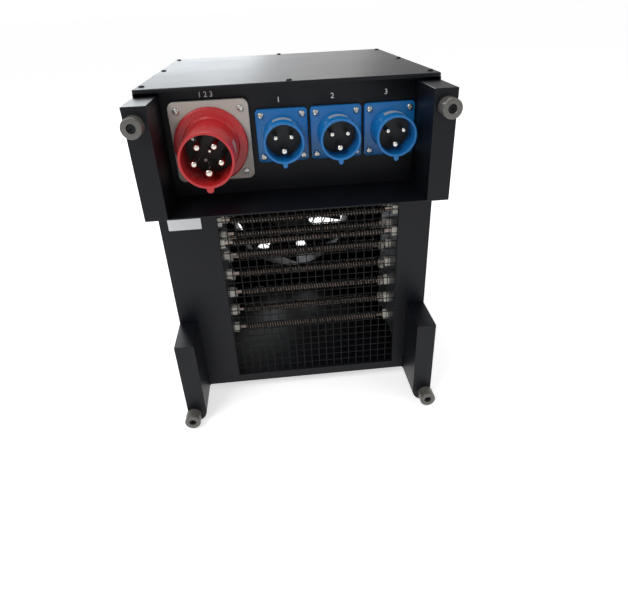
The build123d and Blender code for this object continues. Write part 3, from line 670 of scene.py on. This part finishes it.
# a wire ring: a small circle carried round a large one
def wireRing(radius, y, wire):
    big = np.linspace(0, 2 * np.pi, 96, endpoint=False)[:, None]
    tiny = np.linspace(0, 2 * np.pi, guard["wireSides"], endpoint=False)[None, :]
    reach = radius + wire * np.cos(tiny)
    depth = np.repeat(y + wire * np.sin(tiny), len(big), axis=0)
    points = np.stack([reach * np.cos(big), depth, fan["z"] + reach * np.sin(big)], axis=-1)
    return skin(np.concatenate([points, points[:1]]), caps=False)


wire = guard["wire"]
rings = [wireRing(guard["outer"] - k * guard["pitch"] - wire, guard["y"] + wire, wire)
         for k in range(guard["rings"])]
hubMiddle = np.array([0, guard["y"], fan["z"]])
spokes = []
for k in range(guard["spokes"]):
    angle = np.pi / 4 + k * 2 * np.pi / guard["spokes"]
    ray = np.array([np.cos(angle), 0, np.sin(angle)])
    start = hubMiddle + (0, 3 * wire, 0) + guard["spokeStart"] * ray
    end = hubMiddle + (0, 3 * wire, 0) + guard["outer"] * ray
    spokes.append(rods([start], [end], wire, guard["wireSides"]))
thick, edge = guard["plateThick"], guard["plateEdge"]
plateProfile = [(pole, 0), (guard["plate"], 0), (guard["plate"], thick - edge),
                (guard["plate"] - edge, thick), (pole, thick)]
hubPlate = turned(plateProfile, hubMiddle, (0, 1, 0), 64)
guardWork = together(rings + spokes + [hubPlate])
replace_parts(piece("fanWireGuard", guardWork, "cabinet", "mesh_black"), "fan_guard")

# screws of the guard: circle radius, height over the sheet, how many and the angle of the first
rearScrew = {"radius": 3.6, "height": 2.0, "edge": 0.5, "dome": 0.5, "drive": "cross", "size": 1.7,
             "depth": 1.0, "circles": ((140.5, 0.0, 4, 0.0), (30.0, thick, 3, np.pi / 2))}
rearHeads = []
for radius, lift, count, first in rearScrew["circles"]:
    for angle in first + 2 * np.pi * np.arange(count) / count:
        place = hubMiddle + (radius * np.cos(angle), lift, radius * np.sin(angle))
        rearHeads.append(screwHead(place, (0, 1, 0), rearScrew))
piece("rearPanHeads", together(rearHeads), "cabinet", "black_steel")
print("fan made")

# three switches: numbers round each knob on the rear sheet, from swing degrees left of upright to right
# of it, and a white line from the knob's middle outwards
dial = {"xs": (-80.0, 0.0, 80.0), "z": 440.0, "back": 206.0, "steps": 6, "swing": 75.0, "radius": 26.0,
        "height": 5.0, "knobFace": 21.3, "blockEdge": 0.6, "knobEdge": 0.9, "lineReach": (4.0, 14.5),
        "lineWidth": 1.4, "ink": 0.2}
words = []
for x in dial["xs"]:
    for step in range(dial["steps"]):
        angle = np.radians(dial["swing"] * (1 - 2 * step / (dial["steps"] - 1)) + 90)
        words.append((str(step), x - dial["radius"] * np.cos(angle),
                      dial["z"] + dial["radius"] * np.sin(angle) - dial["height"] / 2, dial["height"]))
dialWords = wordShapes(words, True, dial["back"] + numbers["ink"] / 2)
piece("dialNumbers", dialWords, "cabinet", "switch_grey", "whiteInk")
softened("switch_blocks", "switchBlocksSoft", dial["blockEdge"])
angle = np.radians(90 + dial["swing"])
ray = np.array([-np.cos(angle), 0, np.sin(angle)])
side = np.cross(ray, [0, 1.0, 0]) * dial["lineWidth"] / 2
near, far = dial["lineReach"]
corners = np.array([near * ray - side, near * ray + side, far * ray + side, far * ray - side])
face = dial["back"] + dial["knobFace"]
for number, x in enumerate(dial["xs"], start=1):
    softened(f"switch_knob_l{number}", f"rotaryKnob{number}", dial["knobEdge"], f"switch_l{number}")
    line = skin(np.stack([corners + (x, face + y, dial["z"]) for y in (-dial["ink"] / 2, dial["ink"] / 2)]))
    piece(f"knobLine{number}", line, f"switch_l{number}", "knob_black", "whiteInk")
print("switches marked")

# stage: a pale floor and even light; strengths are 1 for white where the camera looks
studio = {"floor": "#e9e9ea", "floorHalf": 60, "floorGlow": 0.58, "world": 0.5, "aim": (0.0, 0.0, 0.3)}


# a strength that is high for the two named kinds of ray and low for all others
def strengthFor(tree, first, second, low, high):
    ray = addNode(tree, "ShaderNodeLightPath")
    either = addNode(tree, "ShaderNodeMath", links={0: ray.outputs[first], 1: ray.outputs[second]},
                     operation="MAXIMUM")
    picked = addNode(tree, "ShaderNodeMapRange", {"To Min": low, "To Max": high},
                     {"Value": either.outputs["Value"]})
    return picked.outputs["Result"]


sky = bpy.data.worlds.new("studio")
bpy.context.scene.world = sky
sky.use_nodes = True
tree = sky.node_tree
background = tree.nodes["Background"]
background.inputs["Color"].default_value = (1, 1, 1, 1)
strength = strengthFor(tree, "Is Camera Ray", "Is Transmission Ray", studio["world"], 1.0)
tree.links.new(strength, background.inputs["Strength"])

half = studio["floorHalf"]
floorMesh = bpy.data.meshes.new("floor")
floorCorners = [(-half, -half, 0), (half, -half, 0), (half, half, 0), (-half, half, 0)]
floorMesh.from_pydata(floorCorners, [], [(0, 1, 2, 3)])
floor = bpy.data.objects.new("floor", floorMesh)
bpy.context.scene.collection.objects.link(floor)
paper = bpy.data.materials.new("palePaper")
paper.use_nodes = True
tree = paper.node_tree
matte = tree.nodes["Principled BSDF"]
matte.inputs["Base Color"].default_value = linear(studio["floor"])
matte.inputs["Roughness"].default_value = 0.9
matte.inputs["Specular IOR Level"].default_value = 0.1
matte.inputs["Emission Color"].default_value = (1, 1, 1, 1)
glow = strengthFor(tree, "Is Camera Ray", "Is Glossy Ray", 0.0, studio["floorGlow"])
tree.links.new(glow, matte.inputs["Emission Strength"])
floorMesh.materials.append(paper)

# soft lamps in metres and watts: two in front, two behind for the sheen on the lid, one over it
lamps = {
    "key": {"place": (-1.1, -1.3, 1.7), "size": 1.0, "power": 17.0},
    "fill": {"place": (1.5, -0.9, 1.1), "size": 1.4, "power": 6.0},
    "rear": {"place": (-0.2, 1.8, 1.5), "size": 1.7, "power": 15.0},
    "window": {"place": (-0.75, 2.6, 1.15), "size": 1.5, "power": 22.0, "colour": (0.86, 0.94, 1.0)},
    "overhead": {"place": (-0.5, -0.2, 2.2), "size": 0.6, "power": 6.0},
}
for name, lamp in lamps.items():
    light = bpy.data.lights.new(name, "AREA")
    light.size, light.energy = lamp["size"], lamp["power"]
    light.color = lamp.get("colour", (1, 1, 1))
    stand = bpy.data.objects.new(name, light)
    bpy.context.scene.collection.objects.link(stand)
    stand.visible_camera = False
    facing = (Vector(studio["aim"]) - Vector(lamp["place"])).to_track_quat("-Z", "Y")
    stand.matrix_world = Matrix.Translation(lamp["place"]) @ facing.to_matrix().to_4x4()

# camera: place in metres, then the turns in degrees about x, y and z, tilted up from looking straight down
viewpoint = {"place": (-0.03106, -0.90893, 0.59461), "turns": (59.6673, 2.3999, -5.4458), "lens": 28.73,
             "sensor": 36.0, "nearest": 0.01}
camera = bpy.data.cameras.new("view")
camera.sensor_width, camera.lens = viewpoint["sensor"], viewpoint["lens"]
camera.clip_start = viewpoint["nearest"]
seat = bpy.data.objects.new("view", camera)
bpy.context.scene.collection.objects.link(seat)
turn = Euler([radians(angle) for angle in viewpoint["turns"]]).to_matrix().to_4x4()
seat.matrix_world = Matrix.Translation(viewpoint["place"]) @ turn
bpy.context.scene.camera = seat
bpy.context.scene.view_settings.view_transform = "Standard"

print("stage set")
